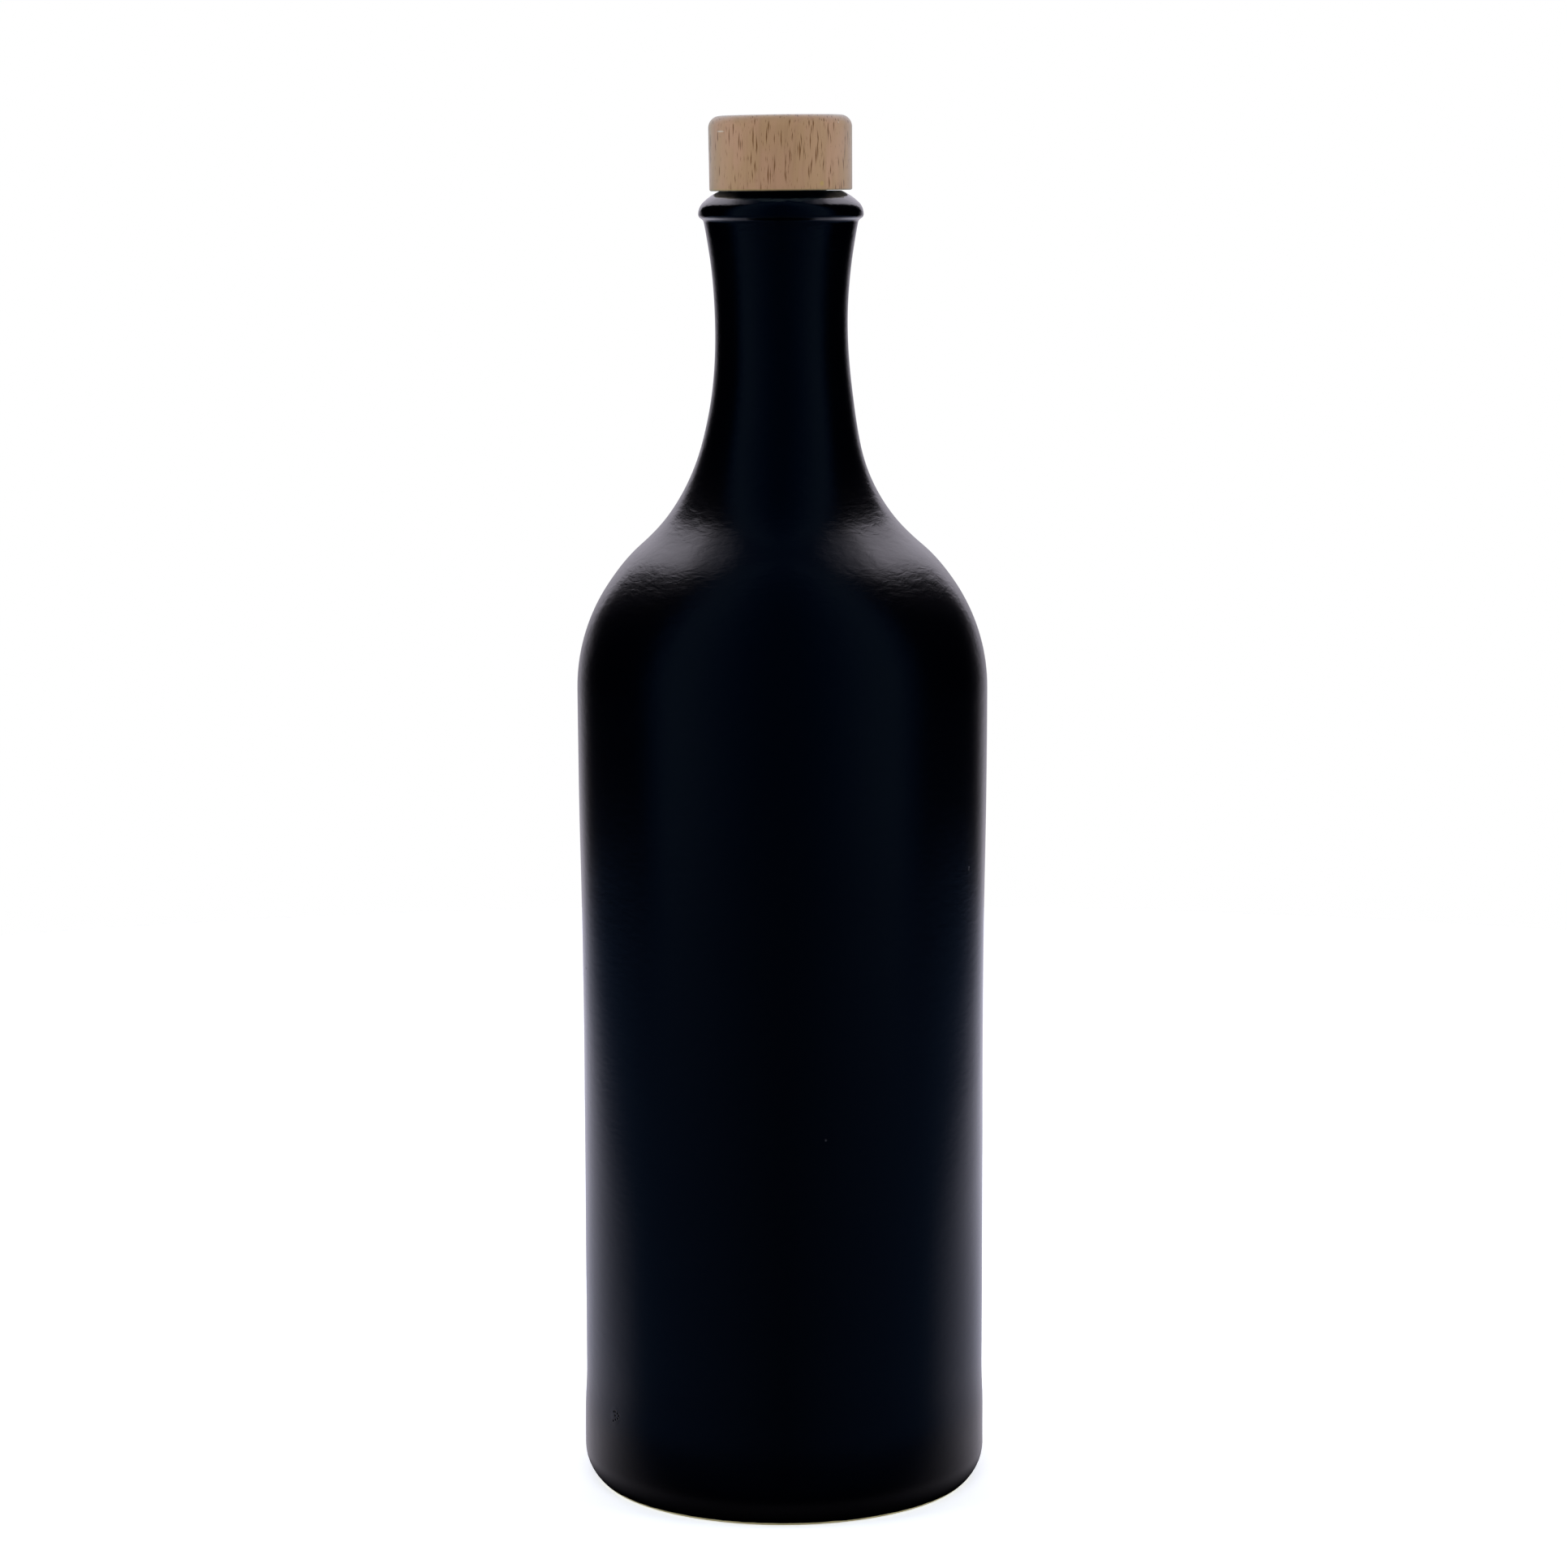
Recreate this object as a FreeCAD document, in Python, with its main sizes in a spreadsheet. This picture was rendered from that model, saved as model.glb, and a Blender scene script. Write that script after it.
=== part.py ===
import FreeCAD, Part

import math
import os

import Sketcher

# A stoneware bottle with a long neck, shut by a turned beech stopper.
#
# The bottle is one turned form: a heel, a long side that draws in below the
# shoulder and swells a little at the foot, a round shoulder, a neck that
# sweeps in to a waist and flares out again, and a rolled lip.  It is shut, so
# it stays solid below the bore that takes the stopper's shank.
#
# Every size is a cell of the sheet "Sizes", and each outline, feature and
# place is bound to those cells.  Millimetres and degrees.  +Z is up, and the
# origin is the centre of the ring that the bottle stands on.

SIZES = [
    ("bottle_height", 266.0, "ring up to the flat rim of the mouth"),
    ("widest_diameter", 84.0, "across the shoulder at its widest"),
    ("side_draw", 0.65, "how far the side draws in below the shoulder"),
    ("side_fade", 71.0, "height over which it draws in"),
    ("foot_swell", 0.3, "how far the foot stands out from the side"),
    ("foot_height", 13.0, "ring up to where the foot is fullest"),
    ("foot_fade", 11.0, "height over which the foot runs out into the side"),
    ("heel_round", 8.5, "radius of the heel"),
    ("heel_reach", 2.9, "how far the heel turns in to the ring"),
    ("ring_width", 7.0, "width of the ring that the bottle stands on"),
    ("recess_depth", 1.6, "depth of the recess inside the ring"),
    ("recess_round", 1.2, "radius in the recess's corner"),
    ("shoulder_round", 38.5, "radius of the shoulder"),
    ("root_round", 39.25, "radius where the shoulder turns up into the neck"),
    ("sweep_round", 102.7, "radius of the neck's lower half"),
    ("sweep_turn", 12.7, "degrees that the neck's lower half turns through"),
    ("waist_diameter", 27.0, "across the neck at its narrowest"),
    ("waist_depth", 27.9, "rim down to the narrowest place"),
    ("flare_round", 113.0, "radius of the neck's upper half"),
    ("lip_depth", 4.7, "rim down to the lip's widest place"),
    ("lip_overhang", 0.8, "how far the lip stands out from the flare"),
    ("lip_edge", 1.0, "radius of the lip's lower edge"),
    ("lip_cove", 1.2, "radius of the hollow under the lip"),
    ("lip_round", 3.3, "radius of the lip's outer face"),
    ("lip_crown", 11.3, "radius of the lip's top, from the rim outwards"),
    ("rim_width", 2.8, "flat rim round the bore, where the head seats"),
    ("bore_lead", 0.8, "chamfer at the mouth of the bore"),
    ("bore_gap", 0.15, "clearance round the stopper's shank"),
    ("bore_end_gap", 1.5, "clearance below the shank's end"),
    ("shank_diameter", 18.5, "across the stopper's shank"),
    ("shank_length", 20.0, "seat down to the shank's end"),
    ("shank_lead", 1.5, "chamfer round the shank's end"),
    ("head_diameter", 29.0, "across the stopper's head at its top edge"),
    ("head_height", 15.0, "seat up to the head's top edge"),
    ("head_taper", 0.1, "how far the head's side draws in at the seat"),
    ("head_crown", 0.2, "rise of the head's top at its middle"),
    ("head_top_round", 2.4, "radius round the head's top edge"),
    ("head_seat_round", 0.4, "radius round the head's lower edge"),
]

# distances from the axis, and heights, that are worked out from the sizes
WIDEST = "Sizes.widest_diameter / 2"
SIDE = f"{WIDEST} - Sizes.side_draw"
FOOT = f"{SIDE} + Sizes.foot_swell"
RING = f"{FOOT} - Sizes.heel_reach"
RECESS = f"{RING} - Sizes.ring_width"
WAIST = "Sizes.waist_diameter / 2"
WAIST_UP = "Sizes.bottle_height - Sizes.waist_depth"
LIP_UP = "Sizes.bottle_height - Sizes.lip_depth"
LIP = (
    f"{WAIST} + Sizes.flare_round + Sizes.lip_overhang"
    " - sqrt(Sizes.flare_round ^ 2 - (Sizes.waist_depth - Sizes.lip_depth) ^ 2)"
)
SHANK = "Sizes.shank_diameter / 2"
BORE = f"{SHANK} + Sizes.bore_gap"
RIM = f"{BORE} + Sizes.rim_width"
HEAD = "Sizes.head_diameter / 2"
HEAD_SEAT = f"{HEAD} - Sizes.head_taper"

# the ends of a sketched line or arc, its centre, and a sketch's own origin
START = 1
END = 2
CENTRE = 3
ORIGIN = (-1, 1)

# which way an arc bends, followed upwards along the right-hand side
OUTWARD = 1
HOLLOW = -1


def fill_sheet(doc):
    """Put every size in a cell of its own, named by its alias."""
    sheet = doc.addObject("Spreadsheet::Sheet", "Sizes")
    for row, (alias, value, note) in enumerate(SIZES, start=1):
        sheet.set(f"A{row}", note)
        sheet.set(f"B{row}", str(value))
        sheet.setAlias(f"B{row}", alias)
    doc.recompute()


def point(out, up):
    """A point of an outline: distance from the axis, and height."""
    return FreeCAD.Vector(out, up, 0)


def towards(start, target, distance):
    """The point at a distance from a start, in the direction of a target."""
    return start + (target - start) * (distance / (target - start).Length)


def crossing(centre_a, reach_a, centre_b, reach_b, side):
    """Where two circles cross: OUTWARD is left of the way from a to b."""
    across = centre_b - centre_a
    span = across.Length
    along = (span**2 + reach_a**2 - reach_b**2) / (2 * span)
    off = math.sqrt(reach_a**2 - along**2)
    ahead = across * (1 / span)
    return centre_a + ahead * along + point(-ahead.y, ahead.x) * (off * side)


def new_sketch(body, name, role):
    """A sketch on one of the body's own base planes."""
    plane = next(f for f in body.Origin.OriginFeatures if f.Role == role)
    sketch = body.newObject("Sketcher::SketchObject", name)
    sketch.AttachmentSupport = [(plane, "")]
    sketch.MapMode = "FlatFace"
    return sketch


class Outline:
    """A closed chain of lines and arcs, sketched upwards from the origin.

    Each piece is drawn where the sizes put it now.  Joints, radii and places
    are then constraints, so that the outline follows the sheet.
    """

    def __init__(self, body, name):
        self.sketch = new_sketch(body, name, "XZ_Plane")
        self.here = point(0, 0)
        self.chain = []

    def value(self, expression):
        return float(self.sketch.evalExpression(expression))

    def constrain(self, *parts):
        return self.sketch.addConstraint(Sketcher.Constraint(*parts))

    def bind(self, name, expression, *parts):
        """A named dimension that takes its value from the sheet."""
        number = self.constrain(*parts)
        self.sketch.renameConstraint(number, name)
        self.sketch.setExpression(f"Constraints.{name}", expression)

    def radius(self, arc, alias):
        now = self.sketch.Geometry[arc].Radius
        self.bind(alias, f"Sizes.{alias}", "Radius", arc, now)

    def out(self, piece, end, name, expression):
        """Bind how far a point lies from the axis."""
        now = self.value(expression)
        self.bind(f"{name}_out", expression, "DistanceX", *ORIGIN, piece, end, now)

    def up(self, piece, end, name, expression):
        """Bind how far a point lies above the sketch's origin."""
        now = self.value(expression)
        self.bind(f"{name}_up", expression, "DistanceY", *ORIGIN, piece, end, now)

    def add(self, shape, entry, leave, end, smooth):
        number = self.sketch.addGeometry(shape, False)
        if self.chain:
            last, _, last_leave = self.chain[-1]
            joint = "Tangent" if smooth else "Coincident"
            self.constrain(joint, last, last_leave, number, entry)
        else:
            self.constrain("Coincident", number, entry, *ORIGIN)
        self.chain.append((number, entry, leave))
        self.here = end
        return number

    def line(self, end, direction=None, smooth=False):
        number = self.add(Part.LineSegment(self.here, end), START, END, end, smooth)
        if direction:
            self.constrain(direction, number)
        return number

    def arc(self, centre, end, bend, smooth=True):
        """An arc from here to its end, about a centre on the side it bends to."""
        radius = (self.here - centre).Length
        circle = Part.Circle(centre, FreeCAD.Vector(0, 0, 1), radius)
        here_turn = math.atan2(self.here.y - centre.y, self.here.x - centre.x)
        end_turn = math.atan2(end.y - centre.y, end.x - centre.x)
        if bend == OUTWARD:
            shape = Part.ArcOfCircle(circle, here_turn, end_turn)
            return self.add(shape, START, END, end, smooth)
        shape = Part.ArcOfCircle(circle, end_turn, here_turn)
        return self.add(shape, END, START, end, smooth)

    def ogee(self, end, bend):
        """Two like arcs to a point above, upright where they start and end."""
        start = self.here
        height = end.y - start.y
        step = end.x - start.x
        radius = (height**2 + step**2) / (4 * abs(step))
        side = point(bend * radius, 0)
        lower = self.arc(start - side, (start + end) / 2, bend)
        upper = self.arc(end + side, end, -bend)
        self.constrain("Equal", lower, upper)
        return upper

    def close(self):
        """Back to the origin, down the axis."""
        axis = self.line(point(0, 0), "Vertical")
        self.constrain("Coincident", axis, END, *ORIGIN)


def foot_and_side(outline, widest_up):
    """From the middle of the ring up the heel and the side to the shoulder."""
    value = outline.value
    side = value(SIDE)
    foot = value(FOOT)
    heel_round = value("Sizes.heel_round")
    heel_inset = heel_round - value("Sizes.heel_reach")
    heel_up = math.sqrt(heel_round**2 - heel_inset**2)
    side_from = "Sizes.foot_height + Sizes.foot_fade"
    side_fade = value("Sizes.side_fade")

    base = outline.line(point(value(RING), 0), "Horizontal")
    heel = outline.arc(
        point(foot - heel_round, heel_up), point(foot, heel_up), OUTWARD, smooth=False
    )
    full = outline.line(point(foot, value("Sizes.foot_height")), "Vertical", smooth=True)
    outline.ogee(point(side, value(side_from)), OUTWARD)
    wall = outline.line(point(side, widest_up - side_fade), "Vertical", smooth=True)
    draw = outline.ogee(point(value(WIDEST), widest_up), HOLLOW)

    outline.out(base, END, "ring", RING)
    outline.radius(heel, "heel_round")
    outline.out(full, END, "foot", FOOT)
    outline.up(full, END, "foot", "Sizes.foot_height")
    outline.out(wall, START, "side", SIDE)
    outline.up(wall, START, "side", side_from)
    outline.bind("side_fade", "Sizes.side_fade", "DistanceY", wall, END, draw, END, side_fade)


def shoulder_and_neck(outline):
    """Centres of the shoulder, of the root above it and of the neck's sweep.

    The sweep starts upright at the waist and turns through its own angle.
    The root carries on from it, to whatever slope brings the shoulder out to
    the widest diameter.
    """
    value = outline.value
    turn = math.radians(value("Sizes.sweep_turn"))
    sweep_way = point(math.cos(turn), math.sin(turn))
    sweep_round = value("Sizes.sweep_round")
    root_round = value("Sizes.root_round")
    shoulder_round = value("Sizes.shoulder_round")

    sweep = point(value(WAIST) + sweep_round, value(WAIST_UP))
    root = sweep - sweep_way * (sweep_round - root_round)
    shoulder_out = value(WIDEST) - shoulder_round
    slope = math.acos((root.x - shoulder_out) / (root_round + shoulder_round))
    shoulder_up = root.y - (root_round + shoulder_round) * math.sin(slope)
    return point(shoulder_out, shoulder_up), root, sweep


def neck_and_lip(outline):
    """From the waist up the flare and over the lip to the rim of the bore."""
    value = outline.value
    lip = value(LIP)
    lip_up = value(LIP_UP)
    flare_round = value("Sizes.flare_round")
    cove_round = value("Sizes.lip_cove")
    edge_round = value("Sizes.lip_edge")
    face_round = value("Sizes.lip_round")
    crown_round = value("Sizes.lip_crown")
    rim = point(value(RIM), value("Sizes.bottle_height"))

    flare_centre = point(value(WAIST) + flare_round, value(WAIST_UP))
    edge_centre = point(lip - edge_round, lip_up)
    face_centre = point(lip - face_round, lip_up)
    cove_centre = crossing(
        edge_centre, edge_round + cove_round, flare_centre, flare_round - cove_round, HOLLOW
    )
    crown_centre = crossing(face_centre, crown_round - face_round, rim, crown_round, OUTWARD)

    flare_top = towards(flare_centre, cove_centre, flare_round)
    flare = outline.arc(flare_centre, flare_top, HOLLOW)
    cove_top = towards(edge_centre, cove_centre, edge_round)
    cove = outline.arc(cove_centre, cove_top, HOLLOW)
    edge = outline.arc(edge_centre, point(lip, lip_up), OUTWARD)
    face_top = towards(crown_centre, face_centre, crown_round)
    face = outline.arc(face_centre, face_top, OUTWARD)
    crown = outline.arc(crown_centre, rim, OUTWARD)

    outline.radius(flare, "flare_round")
    outline.radius(cove, "lip_cove")
    outline.radius(edge, "lip_edge")
    outline.constrain("Horizontal", edge, END, edge, CENTRE)
    outline.out(edge, END, "lip", LIP)
    outline.up(edge, END, "lip", LIP_UP)
    outline.radius(face, "lip_round")
    outline.radius(crown, "lip_crown")


def bottle_outline(body):
    """Half of the bottle's section, from the ring up to the rim."""
    outline = Outline(body, "BottleOutline")
    value = outline.value
    shoulder_centre, root_centre, sweep_centre = shoulder_and_neck(outline)
    shoulder_top = towards(shoulder_centre, root_centre, value("Sizes.shoulder_round"))
    sweep_low = towards(sweep_centre, root_centre, value("Sizes.sweep_round"))
    sweep_turn = math.radians(value("Sizes.sweep_turn"))

    foot_and_side(outline, shoulder_centre.y)
    shoulder = outline.arc(shoulder_centre, shoulder_top, OUTWARD)
    root = outline.arc(root_centre, sweep_low, HOLLOW)
    sweep = outline.arc(sweep_centre, point(value(WAIST), value(WAIST_UP)), HOLLOW)
    neck_and_lip(outline)
    top = outline.line(point(0, value("Sizes.bottle_height")), "Horizontal")
    outline.close()

    outline.constrain("Horizontal", shoulder, START, shoulder, CENTRE)
    outline.out(shoulder, START, "widest", WIDEST)
    outline.radius(shoulder, "shoulder_round")
    outline.radius(root, "root_round")
    outline.radius(sweep, "sweep_round")
    outline.bind("sweep_turn", "Sizes.sweep_turn * 1 deg", "Angle", sweep, sweep_turn)
    outline.constrain("Horizontal", sweep, START, sweep, CENTRE)
    outline.out(sweep, START, "waist", WAIST)
    outline.up(sweep, START, "waist", WAIST_UP)
    outline.out(top, START, "rim", RIM)
    outline.up(top, START, "rim", "Sizes.bottle_height")
    return outline.sketch


def head_outline(body):
    """Half of the head's section: flat seat, tapered side, slightly domed top."""
    outline = Outline(body, "HeadOutline")
    edge = outline.value(HEAD)
    height = outline.value("Sizes.head_height")
    crown = outline.value("Sizes.head_crown")
    dome_radius = (edge**2 + crown**2) / (2 * crown)
    top_up = height + crown

    seat = outline.line(point(outline.value(HEAD_SEAT), 0), "Horizontal")
    side = outline.line(point(edge, height))
    dome_centre = point(0, top_up - dome_radius)
    dome = outline.arc(dome_centre, point(0, top_up), OUTWARD, smooth=False)
    outline.close()

    outline.constrain("Vertical", dome, CENTRE, *ORIGIN)
    outline.out(seat, END, "seat", HEAD_SEAT)
    outline.out(side, END, "edge", HEAD)
    outline.up(side, END, "edge", "Sizes.head_height")
    outline.up(dome, END, "top", "Sizes.head_height + Sizes.head_crown")
    return outline.sketch


def revolve(body, name, sketch):
    """Turn an outline once round the body's upright axis."""
    feature = body.newObject("PartDesign::Revolution", name)
    feature.Profile = sketch
    feature.ReferenceAxis = (sketch, ["V_Axis"])
    feature.Angle = 360
    body.Document.recompute()


def pull_circle(body, kind, name, radius, length, downwards, height=None):
    """A round pad or pocket on the body's axis."""
    sketch = new_sketch(body, f"{name}Circle", "XY_Plane")
    if height:
        sketch.setExpression("AttachmentOffset.Base.z", height)
    now = float(body.evalExpression(radius))
    circle = Part.Circle(point(0, 0), FreeCAD.Vector(0, 0, 1), now)
    number = sketch.addGeometry(circle, False)
    sketch.addConstraint(Sketcher.Constraint("Coincident", number, CENTRE, *ORIGIN))
    size = sketch.addConstraint(Sketcher.Constraint("Radius", number, now))
    sketch.renameConstraint(size, "radius")
    sketch.setExpression("Constraints.radius", radius)

    # a pad grows along its sketch's normal and a pocket cuts against it
    feature = body.newObject(f"PartDesign::{kind}", name)
    feature.Profile = sketch
    feature.setExpression("Length", length)
    feature.Reversed = downwards == (kind == "Pad")
    body.Document.recompute()


def dress(body, kind, name, radius, height, size):
    """A fillet or a chamfer on the round edge at a radius and a height."""
    tolerance = 1e-4
    out = float(body.evalExpression(radius))
    up = float(body.evalExpression(height))
    base = body.Tip
    edge_name = next(
        f"Edge{number}"
        for number, edge in enumerate(base.Shape.Edges, start=1)
        if abs(edge.BoundBox.XMax - out) < tolerance
        and abs(edge.BoundBox.ZMin - up) < tolerance
        and abs(edge.BoundBox.ZMax - up) < tolerance
    )
    feature = body.newObject(f"PartDesign::{kind}", name)
    feature.Base = (base, [edge_name])
    feature.setExpression("Radius" if kind == "Fillet" else "Size", size)
    body.Document.recompute()


def make_bottle(doc):
    """The turned bottle, recessed inside its ring and bored for the stopper."""
    body = doc.addObject("PartDesign::Body", "Bottle")
    body.Label = "bottle"
    revolve(body, "Turned", bottle_outline(body))

    pull_circle(body, "Pocket", "Recess", RECESS, "Sizes.recess_depth", False)
    dress(body, "Fillet", "RecessRound", RECESS, "Sizes.recess_depth", "Sizes.recess_round")

    depth = "Sizes.shank_length + Sizes.bore_end_gap"
    pull_circle(body, "Pocket", "Bore", BORE, depth, True, "Sizes.bottle_height")
    dress(body, "Chamfer", "BoreLead", BORE, "Sizes.bottle_height", "Sizes.bore_lead")
    return body


def make_stopper(doc):
    """The turned stopper: its head rests on the rim, its shank in the bore."""
    body = doc.addObject("PartDesign::Body", "Stopper")
    body.Label = "stopper"
    revolve(body, "Head", head_outline(body))
    dress(body, "Fillet", "HeadTop", HEAD, "Sizes.head_height", "Sizes.head_top_round")
    dress(body, "Fillet", "HeadSeat", HEAD_SEAT, "0", "Sizes.head_seat_round")

    pull_circle(body, "Pad", "Shank", SHANK, "Sizes.shank_length", True)
    dress(body, "Chamfer", "ShankLead", SHANK, "-Sizes.shank_length", "Sizes.shank_lead")
    body.setExpression("Placement.Base.z", "Sizes.bottle_height")
    return body


def check(doc, bodies):
    """Stop at any feature that failed, and at any body that isn't one solid."""
    for thing in doc.Objects:
        if "Invalid" in thing.State or "Error" in thing.State:
            raise RuntimeError(f"{thing.Name} failed: {thing.State}")
    for body in bodies:
        shape = body.Shape
        if shape.isNull() or not shape.isValid() or len(shape.Solids) != 1:
            raise RuntimeError(f"{body.Label} isn't one valid solid")


doc = FreeCAD.newDocument("StoneBottle")
fill_sheet(doc)
bodies = [make_bottle(doc), make_stopper(doc)]
doc.recompute()
check(doc, bodies)

os.makedirs("parts", exist_ok=True)
for body in bodies:
    body.Shape.exportStep(f"parts/{body.Label}.step")
    print(f"{body.Label}: {body.Shape.Volume / 1000:.1f} cubic centimetres")
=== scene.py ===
import math

import bpy
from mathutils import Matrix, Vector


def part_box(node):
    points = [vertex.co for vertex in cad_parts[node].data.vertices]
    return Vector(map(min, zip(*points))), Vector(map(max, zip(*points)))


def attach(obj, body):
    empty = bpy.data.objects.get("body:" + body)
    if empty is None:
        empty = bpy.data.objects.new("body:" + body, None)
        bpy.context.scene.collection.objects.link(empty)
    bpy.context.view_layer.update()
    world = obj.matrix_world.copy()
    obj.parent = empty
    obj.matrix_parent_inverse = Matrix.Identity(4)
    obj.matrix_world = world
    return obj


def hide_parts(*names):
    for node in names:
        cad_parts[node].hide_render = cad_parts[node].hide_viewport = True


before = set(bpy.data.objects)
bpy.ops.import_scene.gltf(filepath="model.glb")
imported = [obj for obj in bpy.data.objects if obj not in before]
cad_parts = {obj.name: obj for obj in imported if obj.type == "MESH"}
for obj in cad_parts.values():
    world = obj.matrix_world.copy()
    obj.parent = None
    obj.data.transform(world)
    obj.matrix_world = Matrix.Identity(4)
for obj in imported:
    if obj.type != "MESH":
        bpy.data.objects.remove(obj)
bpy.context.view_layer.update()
bpy.context.scene.view_settings.view_transform = "Standard"


# ---------------------------------------------------------------- The bottle
# A tall stoneware bottle, cast in one piece: a heavy foot, an upright side that swells a little,
# a round shoulder, a long neck and a rolled lip. A satin black glaze covers all of it but the ring
# that it stands on, which is wiped bare before the firing.

mm = 0.001
recess_depth = 1.6 * mm
recess_corner = 1.2 * mm
foot_ring_inside = 31.75 * mm
foot_ring_flat = 6.37 * mm
foot_corner = 0.3 * mm
foot_upright = 6.48 * mm
side_upright = 70.3 * mm
bottle_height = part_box("bottle")[1].z
bore_radius = 9.4 * mm
bore_depth = 21.5 * mm
bore_lead = 0.8 * mm

# The round stretches, from the foot up: each one's radius, and the degrees that it bends inwards.
heel_edge = (0.5 * mm, 41.2)
heel = (8.5 * mm, 48.8)
foot_draws_in = (100.9 * mm, 3.125)
foot_runs_out = (100.9 * mm, -3.125)
side_swells = (1939 * mm, -1.049)
side_straightens = (1939 * mm, 1.049)
shoulder = (38.5 * mm, 49.2)
neck_root = (39.25 * mm, -36.5)
neck_sweep = (102.7 * mm, -12.7)
neck_flare = (113 * mm, -10.96)
lip_cove = (1.2 * mm, -51.1)
lip_edge = (1.0 * mm, 62.06)
lip_face = (3.3 * mm, 45.53)
lip_crown = (11.3 * mm, 21.57)

bottle_sides = 192
ring_pitch = 1.3 * mm
finest_turn = math.radians(7)
pen = {"r": 0.0, "z": recess_depth, "heading": math.radians(-90)}


def start_outline(name):
    """A new mesh of one vertex, at the pen, with edit mode on."""
    bpy.ops.object.select_all(action="DESELECT")
    bpy.ops.mesh.primitive_plane_add(size=1 * mm, location=(pen["r"], 0, pen["z"]))
    bpy.ops.object.transform_apply(location=True)
    bpy.context.object.name = name
    bpy.ops.object.mode_set(mode="EDIT")
    bpy.ops.mesh.merge(type="CENTER")


def straight(length, heading=None):
    """Draws a straight stretch, in steps of about one pitch. Heading 0 is up and 90 is inwards."""
    if heading is not None:
        pen["heading"] = math.radians(heading)
    steps = max(1, round(length / ring_pitch))
    along_r = -math.sin(pen["heading"]) * length
    along_z = math.cos(pen["heading"]) * length
    for _ in range(steps):
        move = (along_r / steps, 0, along_z / steps)
        bpy.ops.mesh.extrude_region_move(TRANSFORM_OT_translate={"value": move})
    pen["r"] += along_r
    pen["z"] += along_z


def turn(radius, degrees):
    """Draws a round stretch that bends inwards, or outwards if degrees is below 0."""
    angle = math.radians(degrees)
    side = math.copysign(1, angle)
    centre_r = pen["r"] - side * radius * math.cos(pen["heading"])
    centre_z = pen["z"] - side * radius * math.sin(pen["heading"])
    steps = max(round(radius * abs(angle) / ring_pitch), math.ceil(abs(angle) / finest_turn))
    bpy.ops.mesh.spin(steps=steps, angle=angle, center=(centre_r, 0, centre_z), axis=(0, 1, 0))
    pen["heading"] += angle
    pen["r"] = centre_r + side * radius * math.cos(pen["heading"])
    pen["z"] = centre_z + side * radius * math.sin(pen["heading"])


def turn_on_wheel(sides):
    """Spins the drawn outline round the middle, closes it, and turns its faces outwards."""
    bpy.ops.mesh.select_all(action="SELECT")
    bpy.ops.mesh.spin(steps=sides, angle=math.tau, center=(0, 0, 0), axis=(0, 0, 1))
    bpy.ops.mesh.select_all(action="SELECT")
    bpy.ops.mesh.remove_doubles(threshold=0.005 * mm)
    bpy.ops.mesh.normals_make_consistent(inside=False)
    bpy.ops.object.mode_set(mode="OBJECT")
    return bpy.context.object


start_outline("bottle_body")
straight(foot_ring_inside - recess_corner)
turn(recess_corner, -90)
straight(recess_depth - recess_corner - foot_corner)
turn(foot_corner, 90)
straight(foot_ring_flat)
turn(*heel_edge)
turn(*heel)
straight(foot_upright)
turn(*foot_draws_in)
turn(*foot_runs_out)
straight(side_upright)
turn(*side_swells)
turn(*side_straightens)
turn(*shoulder)
turn(*neck_root)
turn(*neck_sweep)
turn(*neck_flare)
turn(*lip_cove)
turn(*lip_edge)
turn(*lip_face)
turn(*lip_crown)
straight(pen["r"] - bore_radius - bore_lead, heading=90)
straight(bore_lead * math.sqrt(2), heading=135)
straight(bore_depth - bore_lead, heading=180)
straight(pen["r"], heading=90)
bottle_body = turn_on_wheel(bottle_sides)

mouth_edge = 12.8 * mm


def outer_wall(name, height, reach, fade=None):
    """A group of the outer wall's vertices within reach of a height. It fades at both its ends."""
    group = bottle_body.vertex_groups.new(name=name)
    for vertex in bottle_body.data.vertices:
        away = abs(vertex.co.z - height)
        if away >= reach or math.hypot(vertex.co.x, vertex.co.y) < mouth_edge:
            continue
        share = min(1, (reach - away) / (fade or reach))
        group.add([vertex.index], share * share * (3 - 2 * share), "REPLACE")
    return name


def push(group, direction, depth, hollow_size=0):
    """Moves the wall of a group: all of it by depth, or in hollows and swellings of this size."""
    uneven = bottle_body.modifiers.new(group, "DISPLACE")
    uneven.direction = direction
    uneven.strength = depth
    uneven.mid_level = 0
    uneven.vertex_group = group
    if hollow_size:
        uneven.texture = bpy.data.textures.new(group, "CLOUDS")
        uneven.texture.noise_scale = hollow_size
        uneven.texture.noise_depth = 1
        uneven.texture_coords = "LOCAL"
        uneven.mid_level = 0.82  # more hollows than swellings
    bpy.ops.object.modifier_apply(modifier=group)


push(outer_wall("hollows", 129 * mm, 128 * mm, 6 * mm), "NORMAL", 0.13 * mm, 26 * mm)
push(outer_wall("root_swelling", 194 * mm, 7 * mm), "NORMAL", 0.16 * mm)
push(outer_wall("neck_bow", 206 * mm, 20 * mm), "X", -0.26 * mm)
push(outer_wall("neck_back", 226 * mm, 18 * mm), "X", 0.16 * mm)
push(outer_wall("foot_bow", 8 * mm, 14 * mm), "X", -0.08 * mm)
bpy.ops.object.shade_smooth_by_angle(angle=math.radians(32))


def node(tree, kind, values=None, **settings):
    """One shader node, with its settings and the values of its free sockets."""
    made = tree.nodes.new(kind)
    for name, value in settings.items():
        setattr(made, name, value)
    for name, value in (values or {}).items():
        made.inputs[name].default_value = value
    return made


def new_material(name):
    """An empty material, and its tree to fill."""
    made = bpy.data.materials.new(name)
    made.use_nodes = True
    made.node_tree.nodes.clear()
    return made, made.node_tree


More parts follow.
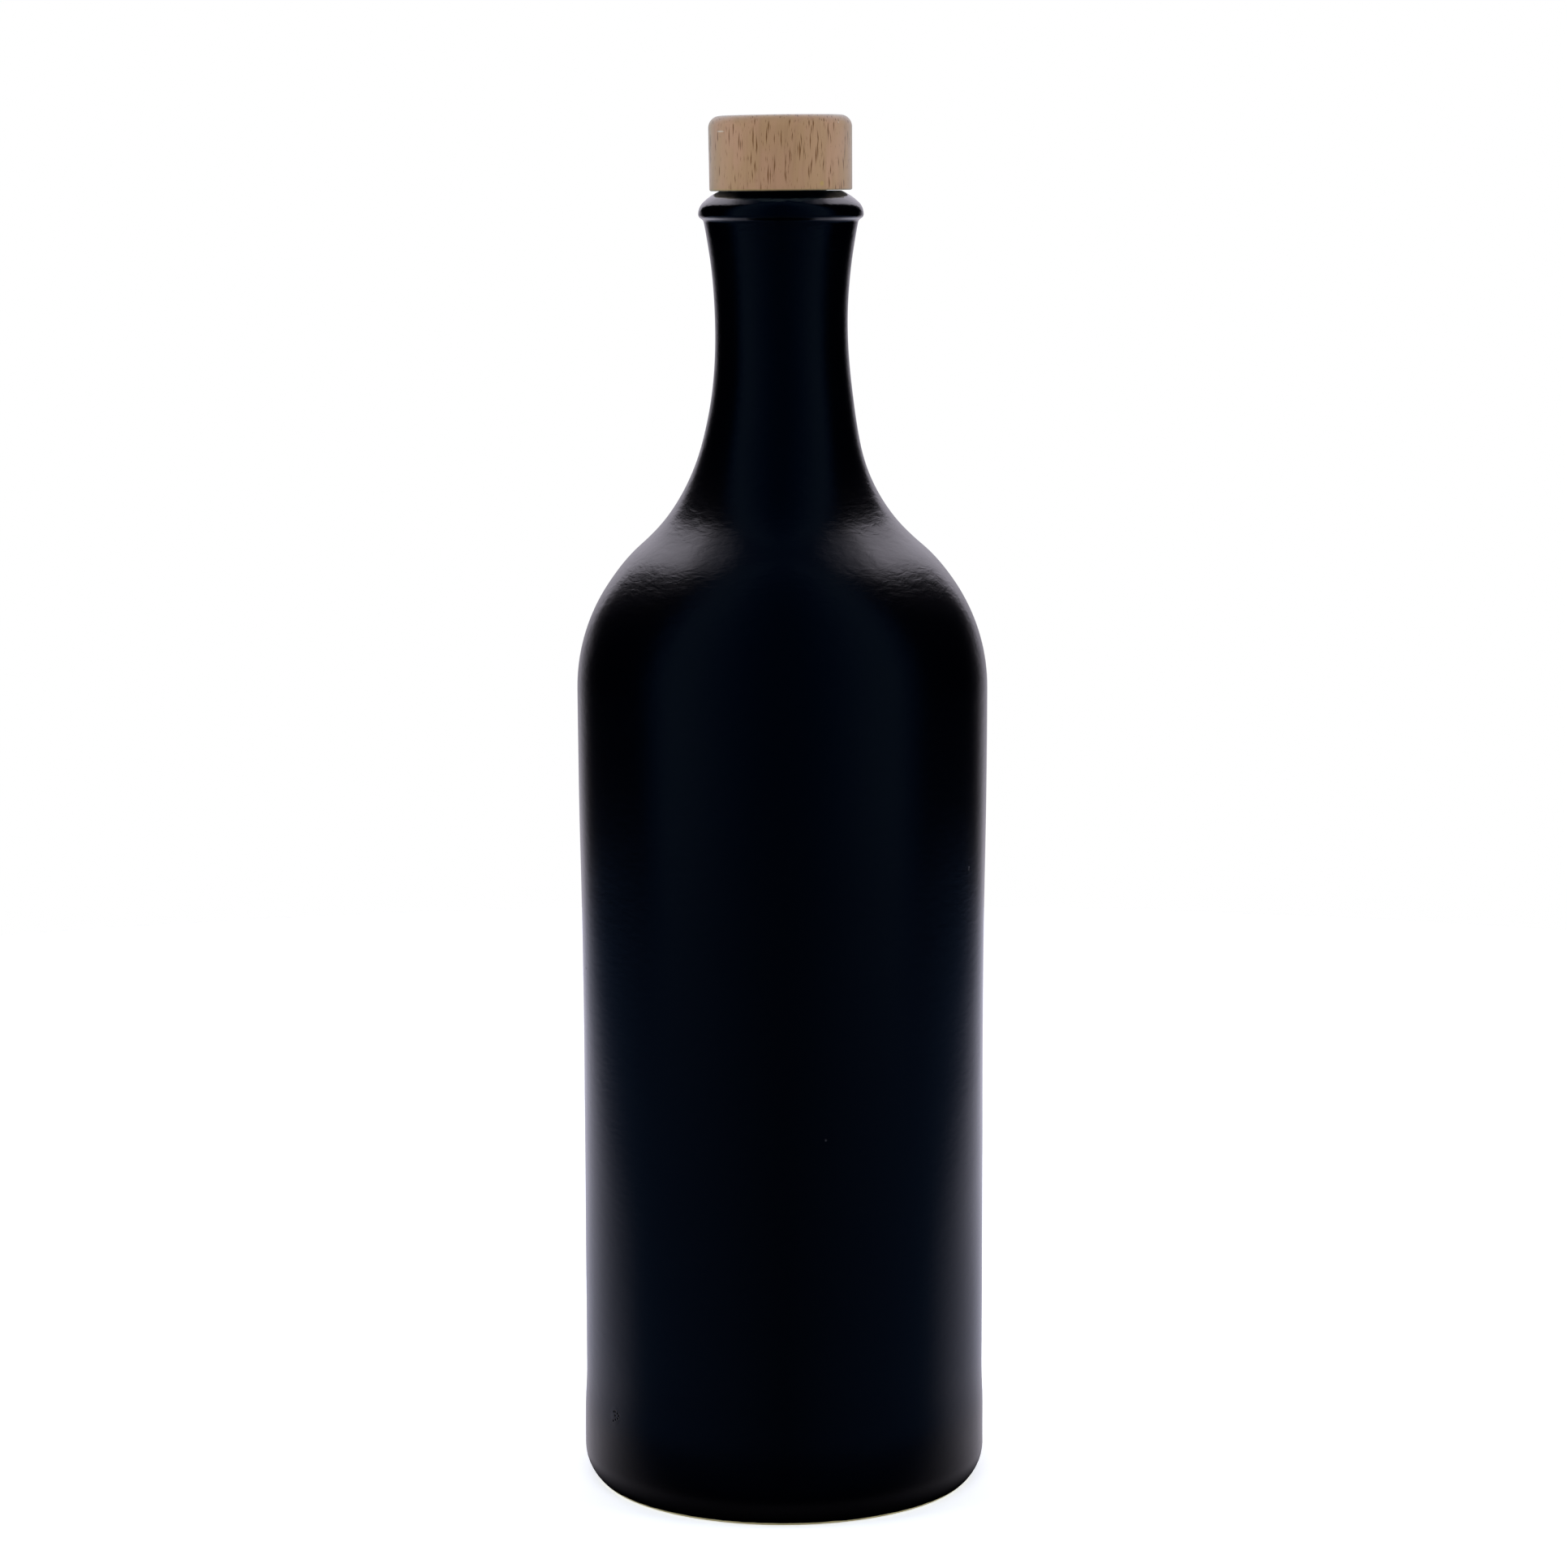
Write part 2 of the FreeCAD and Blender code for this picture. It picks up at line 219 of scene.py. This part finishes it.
def ramp(tree, source, low, high, to_low=0.0, to_high=1.0, smooth=True):
    """A value that goes from to_low to to_high while source goes from low to high."""
    span = {"From Min": low, "From Max": high, "To Min": to_low, "To Max": to_high}
    made = node(tree, "ShaderNodeMapRange", span)
    made.interpolation_type = "SMOOTHSTEP" if smooth else "LINEAR"
    tree.links.new(source, made.inputs["Value"])
    return made.outputs["Result"]


def calculate(tree, operation, first, second=0.0, third=0.0):
    """One sum on values or sockets."""
    made = node(tree, "ShaderNodeMath", operation=operation)
    for place, term in enumerate((first, second, third)):
        if isinstance(term, (int, float)):
            made.inputs[place].default_value = term
        else:
            tree.links.new(term, made.inputs[place])
    return made.outputs[0]


def blend(tree, share, first, second):
    """Mixes two colours, each a socket or four numbers."""
    made = node(tree, "ShaderNodeMix", data_type="RGBA")
    tree.links.new(share, made.inputs[0])
    for place, colour in ((6, first), (7, second)):
        if isinstance(colour, tuple):
            made.inputs[place].default_value = colour
        else:
            tree.links.new(colour, made.inputs[place])
    return made.outputs[2]


def noise(tree, place, scale, **values):
    """A noise whose grains are 1 / scale long on each axis, as a value from 0 to 1."""
    stretched = node(tree, "ShaderNodeMapping", {"Scale": scale})
    tree.links.new(place, stretched.inputs["Vector"])
    made = node(tree, "ShaderNodeTexNoise", {"Scale": 1, **values})
    tree.links.new(stretched.outputs[0], made.inputs["Vector"])
    return made.outputs["Fac"]


# A small mark in a surface, such as a pit, a nick or a drop: a soft-edged oval round one point.
mark_edge_starts = 0.5
mark_edge_ends = 1.5
small_mark = bpy.data.node_groups.new("small_mark", "ShaderNodeTree")
for socket in ("Place", "Centre", "Half size"):
    small_mark.interface.new_socket(socket, in_out="INPUT", socket_type="NodeSocketVector")
small_mark.interface.new_socket("Mask", in_out="OUTPUT", socket_type="NodeSocketFloat")
entry = node(small_mark, "NodeGroupInput")
from_centre = node(small_mark, "ShaderNodeVectorMath", operation="SUBTRACT")
small_mark.links.new(entry.outputs["Place"], from_centre.inputs[0])
small_mark.links.new(entry.outputs["Centre"], from_centre.inputs[1])
in_sizes = node(small_mark, "ShaderNodeVectorMath", operation="DIVIDE")
small_mark.links.new(from_centre.outputs[0], in_sizes.inputs[0])
small_mark.links.new(entry.outputs["Half size"], in_sizes.inputs[1])
away = node(small_mark, "ShaderNodeVectorMath", operation="LENGTH")
small_mark.links.new(in_sizes.outputs[0], away.inputs[0])
mask = ramp(small_mark, away.outputs["Value"], mark_edge_ends, mark_edge_starts)
small_mark.links.new(mask, node(small_mark, "NodeGroupOutput").inputs["Mask"])


def spot(tree, place, centre, wide, tall):
    """The mask of a small mark: 1 in its middle and 0 off it."""
    oval = {"Centre": centre, "Half size": (wide / 2, wide / 2, tall / 2)}
    made = node(tree, "ShaderNodeGroup", oval, node_tree=small_mark)
    tree.links.new(place, made.inputs["Place"])
    return made.outputs["Mask"]


black = (0.00002, 0.0001, 0.0006, 1)
chipped = (0.02, 0.02, 0.024, 1)
clay = (0.6, 0.52, 0.28, 1)
relief_depth = 0.065 * mm
peel_share = 1.1
pit_depth = -5.0
pinhole_size = 0.5 * mm
swelling = 0.5
satin_roughness = 0.22
lip_roughness = 0.12
matt_roughness = 0.9
black_glaze, tree = new_material("black_glaze")
link = tree.links.new
place = node(tree, "ShaderNodeTexCoord").outputs["Object"]
axes = node(tree, "ShaderNodeSeparateXYZ")
link(place, axes.inputs[0])
height = axes.outputs["Z"]

# Wiped clean of glaze up to an uneven line, 0.35 to 0.75 mm above the table.
wipe = noise(tree, place, (260, 260, 260), Detail=2)
wiped_to = calculate(tree, "MULTIPLY_ADD", wipe, 0.4 * mm, 0.35 * mm)
bare = ramp(tree, calculate(tree, "SUBTRACT", wiped_to, height), -0.04 * mm, 0.04 * mm)

# Ripples that lie level and a soft peel, both weaker on the upright side.
ripples = noise(tree, place, (300, 300, 900), Detail=2.5, Roughness=0.6, Distortion=0.4)
peel = noise(tree, place, (160, 160, 160), Detail=2)
relief = calculate(tree, "MULTIPLY_ADD", peel, peel_share, ripples)
side_to_shoulder = ramp(tree, height, 150 * mm, 178 * mm, 0.35, 1)
relief = calculate(tree, "MULTIPLY", relief, side_to_shoulder)

# A cluster of pinholes low on the left, each so many mm across and up from the cluster's middle,
# and three small chips. The wall there comes forward by 1.5 mm for each mm across.
cluster = (-34.6 * mm, -22.9 * mm, 18.1 * mm)
wall_slope = -1.5
pinholes = ((-0.3, 0.8), (0, 0.9), (0.5, 0.75), (0.8, 0.4))
pinholes += ((0.05, 0.1), (0.6, -0.3), (0.15, -0.7), (-0.3, -1.1))
pits = 0.0
for across, up in pinholes:
    forward = wall_slope * across
    pinhole = (cluster[0] + across * mm, cluster[1] + forward * mm, cluster[2] + up * mm)
    hole = spot(tree, place, pinhole, pinhole_size, pinhole_size)
    pits = calculate(tree, "MAXIMUM", pits, hole)
chips = spot(tree, place, (37.4 * mm, -17.8 * mm, 130.4 * mm), 0.5 * mm, 0.9 * mm)
for chip in ((-40.4 * mm, -9.2 * mm, 108.6 * mm), (8.4 * mm, -40.5 * mm, 79.6 * mm)):
    chips = calculate(tree, "MAXIMUM", chips, spot(tree, place, chip, 0.4 * mm, 0.5 * mm))
pits = calculate(tree, "MAXIMUM", pits, chips)
relief = calculate(tree, "MULTIPLY_ADD", pits, pit_depth, relief)
swollen = spot(tree, place, cluster, 2.6 * mm, 3.4 * mm)
relief = calculate(tree, "MULTIPLY_ADD", swollen, swelling, relief)
uneven_glaze = node(tree, "ShaderNodeBump", {"Strength": 1.0, "Distance": relief_depth})
link(relief, uneven_glaze.inputs["Height"])

# Satin on the wall and glossier on the lip. Clay and pits are matt.
satin = ramp(tree, height, 250 * mm, 262 * mm, satin_roughness, lip_roughness)
matt = calculate(tree, "MULTIPLY", calculate(tree, "MAXIMUM", bare, pits), matt_roughness)
glaze = node(tree, "ShaderNodeBsdfPrincipled", {"IOR": 1.5})
link(blend(tree, bare, blend(tree, chips, black, chipped), clay), glaze.inputs["Base Color"])
link(calculate(tree, "MAXIMUM", satin, matt), glaze.inputs["Roughness"])
link(uneven_glaze.outputs[0], glaze.inputs["Normal"])
link(glaze.outputs[0], node(tree, "ShaderNodeOutputMaterial").inputs["Surface"])

bottle_body.data.materials.append(black_glaze)
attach(bottle_body, "root")
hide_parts("bottle")


# ---------------------------------------------------------------- The stopper
# A turned beech stopper: a flat round head with eased edges over a shank that stands in the
# bore. The grain runs upwards, so the side shows the short dark flecks of beech. It was pushed in
# by hand and sits a little askew.

head_seat = bottle_height
head_radius = 14.4 * mm
head_lower_round = 0.4 * mm
head_upper_round = 2.4 * mm
head_taper = 0.38
head_crown = 0.2 * mm
head_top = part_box("stopper")[1].z - 0.02 * mm
head_side = head_top - head_crown - head_seat - head_lower_round - head_upper_round
head_lean = math.radians(-0.5)
shank_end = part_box("stopper")[0].z
shank_radius = 9.2 * mm
shank_chamfer = 1.5 * mm
stopper_sides = 128

ring_pitch = 0.8 * mm
pen.update(r=0.0, z=shank_end, heading=math.radians(-90))
start_outline("beech_stopper")
straight(shank_radius - shank_chamfer)
straight(shank_chamfer * math.sqrt(2), heading=-45)
straight(head_seat - shank_end - shank_chamfer, heading=0)
straight(head_radius - shank_radius - head_lower_round, heading=-90)
turn(head_lower_round, 90)
straight(head_side, heading=-head_taper)
turn(head_upper_round, 89.5)
straight(pen["r"])
beech_stopper = turn_on_wheel(stopper_sides)
bpy.ops.object.shade_smooth_by_angle(angle=math.radians(40))


def grain_flecks(tree, place, scale, share, size):
    """The cut ends of the rays: short upright dark lenses. Share says how many there are."""
    stretched = node(tree, "ShaderNodeMapping", {"Scale": scale})
    tree.links.new(place, stretched.inputs["Vector"])
    cells = node(tree, "ShaderNodeTexVoronoi", {"Scale": 1.0}, distance="MANHATTAN")
    tree.links.new(stretched.outputs[0], cells.inputs["Vector"])
    lot = node(tree, "ShaderNodeSeparateColor")
    tree.links.new(cells.outputs["Color"], lot.inputs[0])
    chosen = calculate(tree, "LESS_THAN", lot.outputs["Red"], share)
    lens = ramp(tree, cells.outputs["Distance"], 1.15 * size, 0.75 * size)
    tone = ramp(tree, lot.outputs["Green"], 0, 1, 0.75, 1, smooth=False)
    return calculate(tree, "MULTIPLY", calculate(tree, "MULTIPLY", lens, chosen), tone)


beech = (0.385, 0.216, 0.119, 1)
beech_olive = (0.362, 0.212, 0.104, 1)
beech_brown = (0.24, 0.13, 0.06, 1)
fleck = (0.125, 0.042, 0.001, 1)
bare_scratch = (0.5, 0.4, 0.3, 1)
yellowish = (0.36, 0.23, 0.07, 1)
painted_head_light = (0.9, 0.72, 0.52, 1)
dark = (0, 0, 0, 1)
grain_wander = 0.8 * mm
fibre_depth = 0.02 * mm
beech_wood, tree = new_material("beech_wood")
link = tree.links.new
place = node(tree, "ShaderNodeTexCoord").outputs["Object"]
axes = node(tree, "ShaderNodeSeparateXYZ")
link(place, axes.inputs[0])

# The grain wanders, so its pattern is read a little off the true place.
wander = node(tree, "ShaderNodeTexNoise", {"Scale": 170, "Detail": 1})
link(place, wander.inputs["Vector"])
shift = node(tree, "ShaderNodeVectorMath", {"Scale": grain_wander}, operation="SCALE")
link(wander.outputs["Color"], shift.inputs[0])
shifted = node(tree, "ShaderNodeVectorMath", operation="ADD")
link(place, shifted.inputs[0])
link(shift.outputs[0], shifted.inputs[1])
grain = shifted.outputs[0]

patches = noise(tree, grain, (330, 200, 110), Detail=1)
streaks = noise(tree, grain, (900, 300, 60), Detail=3, Roughness=0.6)
wood_colour = blend(tree, ramp(tree, patches, 0.35, 0.65), beech, beech_olive)
wood_colour = blend(tree, ramp(tree, streaks, 0.45, 0.85, 0, 0.55), wood_colour, beech_brown)

large = grain_flecks(tree, grain, (2500, 900, 170), share=0.62, size=0.42)
small = grain_flecks(tree, grain, (3500, 900, 480), share=0.5, size=0.38)
flecks = calculate(tree, "MAXIMUM", large, calculate(tree, "MULTIPLY", small, 0.5))
wood_colour = blend(tree, flecks, wood_colour, fleck)

# A thin yellowish line round the seat and one yellowish drop above it, and a scratch and a nick
# near the top.
yellowish_seat_line = ramp(tree, axes.outputs["Z"], head_seat + 0.45 * mm, head_seat + 0.15 * mm, 0, 0.7)
yellowish_drop = spot(tree, place, (8.2 * mm, -11.9 * mm, 267.4 * mm), 0.9 * mm, 0.9 * mm)
wood_colour = blend(tree, calculate(tree, "MAXIMUM", yellowish_seat_line, yellowish_drop), wood_colour, yellowish)
scratch = spot(tree, place, (-12.0 * mm, -8.2 * mm, 277.7 * mm), 2.2 * mm, 0.26 * mm)
nick = spot(tree, place, (11.6 * mm, -8.5 * mm, 279.5 * mm), 0.4 * mm, 0.4 * mm)
wood_colour = blend(tree, calculate(tree, "MAXIMUM", scratch, nick), wood_colour, bare_scratch)

# What the lip mirrors of the head is painted: light at its sides, where the sweep lights it, shade
# in front.
sideways = calculate(tree, "ABSOLUTE", axes.outputs["X"])
painted_shade_in_front = ramp(tree, sideways, 12.5 * mm, 8 * mm)
painted_head_reflection = blend(tree, painted_shade_in_front, painted_head_light, dark)
glossy_ray = node(tree, "ShaderNodeLightPath").outputs["Is Glossy Ray"]
# Glossy rays see this painted reflection in place of the wood's own colour.
wood_colour = blend(tree, glossy_ray, wood_colour, painted_head_reflection)

fibres = noise(tree, grain, (3000, 3000, 150), Detail=2)
sunk = calculate(tree, "SUBTRACT", fibres, flecks)
uneven_wood = node(tree, "ShaderNodeBump", {"Strength": 1.0, "Distance": fibre_depth})
link(sunk, uneven_wood.inputs["Height"])

dry_wood = {"Roughness": 0.5, "IOR": 1.42, "Sheen Weight": 0.42, "Sheen Roughness": 0.5}
dry_wood["Sheen Tint"] = (0.75, 0.95, 1, 1)
wood = node(tree, "ShaderNodeBsdfPrincipled", dry_wood)
link(wood_colour, wood.inputs["Base Color"])
link(uneven_wood.outputs[0], wood.inputs["Normal"])
link(wood.outputs[0], node(tree, "ShaderNodeOutputMaterial").inputs["Surface"])

beech_stopper.data.materials.append(beech_wood)
bpy.ops.object.select_all(action="DESELECT")
beech_stopper.select_set(True)
bpy.context.view_layer.objects.active = beech_stopper
beech_stopper.rotation_euler.y = head_lean
beech_stopper.location.x = math.sin(-head_lean) * head_seat
beech_stopper.location.z = head_seat * (1 - math.cos(head_lean))
bpy.ops.object.transform_apply(location=True, rotation=True)
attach(beech_stopper, "root")
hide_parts("stopper")


# ---------------------------------------------------------------- The table
# A round pale table, matt, that the bottle stands on. What the glaze mirrors of it is painted:
# light at the back, where the sweep lights it, growing to painted shade towards the front, where
# the room is dark.

table_radius = 0.7
white = (1, 1, 1, 1)
pale = (0.9, 0.9, 0.9, 1)
sweep_tint = (0.96, 0.91, 1.04)
bluish = (0.24, 0.47, 1)
camera_lift = 0.42
bpy.ops.object.select_all(action="DESELECT")
bpy.ops.mesh.primitive_circle_add(vertices=96, radius=table_radius, fill_type="NGON")
table = bpy.context.object
table.name = "table"
pale_table, tree = new_material("pale_table")
link = tree.links.new
place = node(tree, "ShaderNodeTexCoord").outputs["Object"]
axes = node(tree, "ShaderNodeSeparateXYZ")
link(place, axes.inputs[0])
length = node(tree, "ShaderNodeVectorMath", operation="LENGTH")
link(place, length.inputs[0])
from_axis = length.outputs["Value"]

# The angle from straight back, seen from a point 60 mm in front of the bottle.
beyond = calculate(tree, "ADD", axes.outputs["Y"], 60 * mm)
from_back = calculate(tree, "ABSOLUTE", calculate(tree, "ARCTAN2", axes.outputs["X"], beyond))

# The pale side's painted light narrows, grows brighter with distance and ends a little in front of
# the bottle.
narrowed = calculate(tree, "MULTIPLY", from_back, ramp(tree, from_axis, 0.2, 0.7, 1, 1.75))
pale_side = ramp(tree, narrowed, math.radians(90), math.radians(5), 0, 0.8)
pale_side = calculate(tree, "MULTIPLY", pale_side, ramp(tree, from_axis, 0.12, 0.45, 1, 1.45))
front_to_back = ramp(tree, axes.outputs["Y"], -55 * mm, 10 * mm)
pale_side = calculate(tree, "MULTIPLY", pale_side, front_to_back)

# The dim side has a painted reflection of the windows' light, with painted shade close to the foot.
dim_side = ramp(tree, from_back, math.pi, math.radians(80), 0.04, 0.13, smooth=False)
dim_side = calculate(tree, "MULTIPLY", dim_side, ramp(tree, from_axis, 52 * mm, 130 * mm))

# Both together, with a painted shadow under the foot.
painted_foot_shade = ramp(tree, from_axis, 39 * mm, 49 * mm)
dim_light = node(tree, "ShaderNodeVectorMath", operation="SCALE")
dim_light.inputs[0].default_value = bluish
link(dim_side, dim_light.inputs["Scale"])
both_sides = node(tree, "ShaderNodeVectorMath", operation="MULTIPLY_ADD")
both_sides.inputs[0].default_value = sweep_tint
link(pale_side, both_sides.inputs[1])
link(dim_light.outputs[0], both_sides.inputs[2])
painted_table_reflection = node(tree, "ShaderNodeVectorMath", operation="SCALE")
link(both_sides.outputs[0], painted_table_reflection.inputs[0])
link(painted_foot_shade, painted_table_reflection.inputs["Scale"])

# Only the camera and the glaze see its glow, so it adds no light to the bottle and keeps the
# bottle's shadow.
rays = node(tree, "ShaderNodeLightPath")
glossy_ray = rays.outputs["Is Glossy Ray"]
surface = node(tree, "ShaderNodeBsdfPrincipled", {"Roughness": 1.0, "Specular IOR Level": 0.0})
link(blend(tree, glossy_ray, pale, dark), surface.inputs["Base Color"])
glow = blend(tree, glossy_ray, white, painted_table_reflection.outputs[0])
link(glow, surface.inputs["Emission Color"])
lift = calculate(tree, "MULTIPLY_ADD", rays.outputs["Is Camera Ray"], camera_lift, glossy_ray)
link(lift, surface.inputs["Emission Strength"])
link(surface.outputs[0], node(tree, "ShaderNodeOutputMaterial").inputs["Surface"])
pale_table.cycles.emission_sampling = "NONE"
table.data.materials.append(pale_table)


# ---------------------------------------------------------------- The studio
# A white sweep rises behind and leans over the bottle, between 0.6 and 1.9 times as bright as
# white paper. The room in front is dark, with two dim bluish windows. Three large fills light the
# wood and have no reflection, so the glaze stays black.

sweep_leans = math.radians(50)
window_brightness = 0.15
deep_blue = (0.05, 0.34, 1, 1)
pale_blue = (0.33, 0.58, 1, 1)
studio = bpy.data.worlds.new("studio")
bpy.context.scene.world = studio
studio.use_nodes = True
tree = studio.node_tree
tree.nodes.clear()
link = tree.links.new
way = node(tree, "ShaderNodeSeparateXYZ")
link(node(tree, "ShaderNodeTexCoord").outputs["Generated"], way.inputs[0])
right, back, above = way.outputs["X"], way.outputs["Y"], way.outputs["Z"]
from_back = calculate(tree, "ABSOLUTE", calculate(tree, "ARCTAN2", right, back))

# How far a direction is from the sweep's middle, in half widths of the sweep at that height.
leaning = calculate(tree, "MULTIPLY", above, math.sin(sweep_leans))
facing = calculate(tree, "MULTIPLY_ADD", back, math.cos(sweep_leans), leaning)
facing = calculate(tree, "MAXIMUM", facing, 0.05)
across = calculate(tree, "DIVIDE", calculate(tree, "ABSOLUTE", right), facing)
widening = ramp(tree, above, 0.28, 0.65, 0.69, 0.88, smooth=False)
closing = ramp(tree, above, 0.70, 0.87, 0.92, 0.74, smooth=False)
across = calculate(tree, "DIVIDE", across, calculate(tree, "MINIMUM", widening, closing))

# It grows brighter up to its top edge, over which the ceiling still glows.
brightness = ramp(tree, above, 0, 0.72, 0.6, 1.88, smooth=False)
brightness = calculate(tree, "MULTIPLY", brightness, ramp(tree, above, 0.9, 0.715))
ceiling = ramp(tree, above, 0.97, 0.84, 0, 0.48)
brightness = calculate(tree, "MAXIMUM", brightness, ceiling)
sweep = calculate(tree, "MULTIPLY", ramp(tree, across, 1.14, 0.86), brightness)
ends = ramp(tree, from_back, math.radians(108), math.radians(78))
sweep = calculate(tree, "MULTIPLY", sweep, ends)

# The foot of the sweep, level with the table.
low = ramp(tree, above, 0.13, 0.02, 0, 0.6)
low = calculate(tree, "MULTIPLY", low, ramp(tree, above, -0.12, -0.16, 1, 1.4))
straight_back = ramp(tree, from_back, math.radians(40), math.radians(18))
low = calculate(tree, "MULTIPLY", low, straight_back)
sweep = calculate(tree, "MAXIMUM", sweep, low)

# The windows stand at the sides, and their light fades towards the camera. The middle of the
# ceiling has some of it too.
window_edge = ramp(tree, from_back, math.radians(90), math.radians(116))
window_fade = ramp(tree, from_back, math.radians(178), math.radians(112), 0.32, 1)
window = calculate(tree, "MULTIPLY", window_edge, window_fade)
window = calculate(tree, "MAXIMUM", window, ramp(tree, above, 0.75, 0.97, 0, 0.5))
window_tint = blend(tree, ramp(tree, window, 0.35, 1), deep_blue, pale_blue)

lit = node(tree, "ShaderNodeBackground", {"Color": (*sweep_tint, 1)})
link(sweep, lit.inputs["Strength"])
dim = node(tree, "ShaderNodeBackground")
link(window_tint, dim.inputs["Color"])
link(calculate(tree, "MULTIPLY", window, window_brightness), dim.inputs["Strength"])
room = node(tree, "ShaderNodeAddShader")
link(lit.outputs[0], room.inputs[0])
link(dim.outputs[0], room.inputs[1])
backdrop = node(tree, "ShaderNodeBackground", {"Color": white, "Strength": 1.0})
seen = node(tree, "ShaderNodeMixShader")
link(node(tree, "ShaderNodeLightPath").outputs["Is Camera Ray"], seen.inputs[0])
link(room.outputs[0], seen.inputs[1])
link(backdrop.outputs[0], seen.inputs[2])
link(seen.outputs[0], node(tree, "ShaderNodeOutputWorld").inputs["Surface"])

fill_side = 1.1
fills_aim_at = 0.2
daylight = (0.92, 1, 1.1)


def soft_box(name, place, brightness, colour=(1, 1, 1)):
    """A square lamp without a reflection. At a brightness of 1 its face is white."""
    bpy.ops.object.select_all(action="DESELECT")
    bpy.ops.object.light_add(type="AREA", location=place)
    lamp = bpy.context.object
    lamp.name = name
    lamp.data.shape = "SQUARE"
    lamp.data.size = fill_side
    lamp.data.energy = brightness * fill_side * fill_side * math.pi
    lamp.data.color = colour
    pitch = math.atan2(math.hypot(place[0], place[1]), place[2] - fills_aim_at)
    lamp.rotation_euler = (pitch, 0, math.atan2(place[1], place[0]) + math.pi / 2)
    lamp.visible_camera = False
    lamp.visible_glossy = False


soft_box("front_fill", (0, -1.25, 1.0), 2.7)
soft_box("left_fill", (-1.3, -0.25, 0.7), 3.9, daylight)
soft_box("right_fill", (1.3, -0.25, 0.7), 3.9, daylight)


# ---------------------------------------------------------------- The camera
# A long lens at arm's length, level with the lip and looking slightly down.

looks_down = math.radians(8.073)
roll = math.radians(-0.17)
camera_data = bpy.data.cameras.new("camera")
camera_data.sensor_fit = "HORIZONTAL"
camera_data.sensor_width = 36
camera_data.lens = 97.09
camera = bpy.data.objects.new("camera", camera_data)
bpy.context.scene.collection.objects.link(camera)
camera.location = (0.00018, -0.86, 0.2672)
camera.rotation_mode = "ZYX"
camera.rotation_euler = (math.pi / 2 - looks_down, 0, roll)
bpy.context.scene.camera = camera
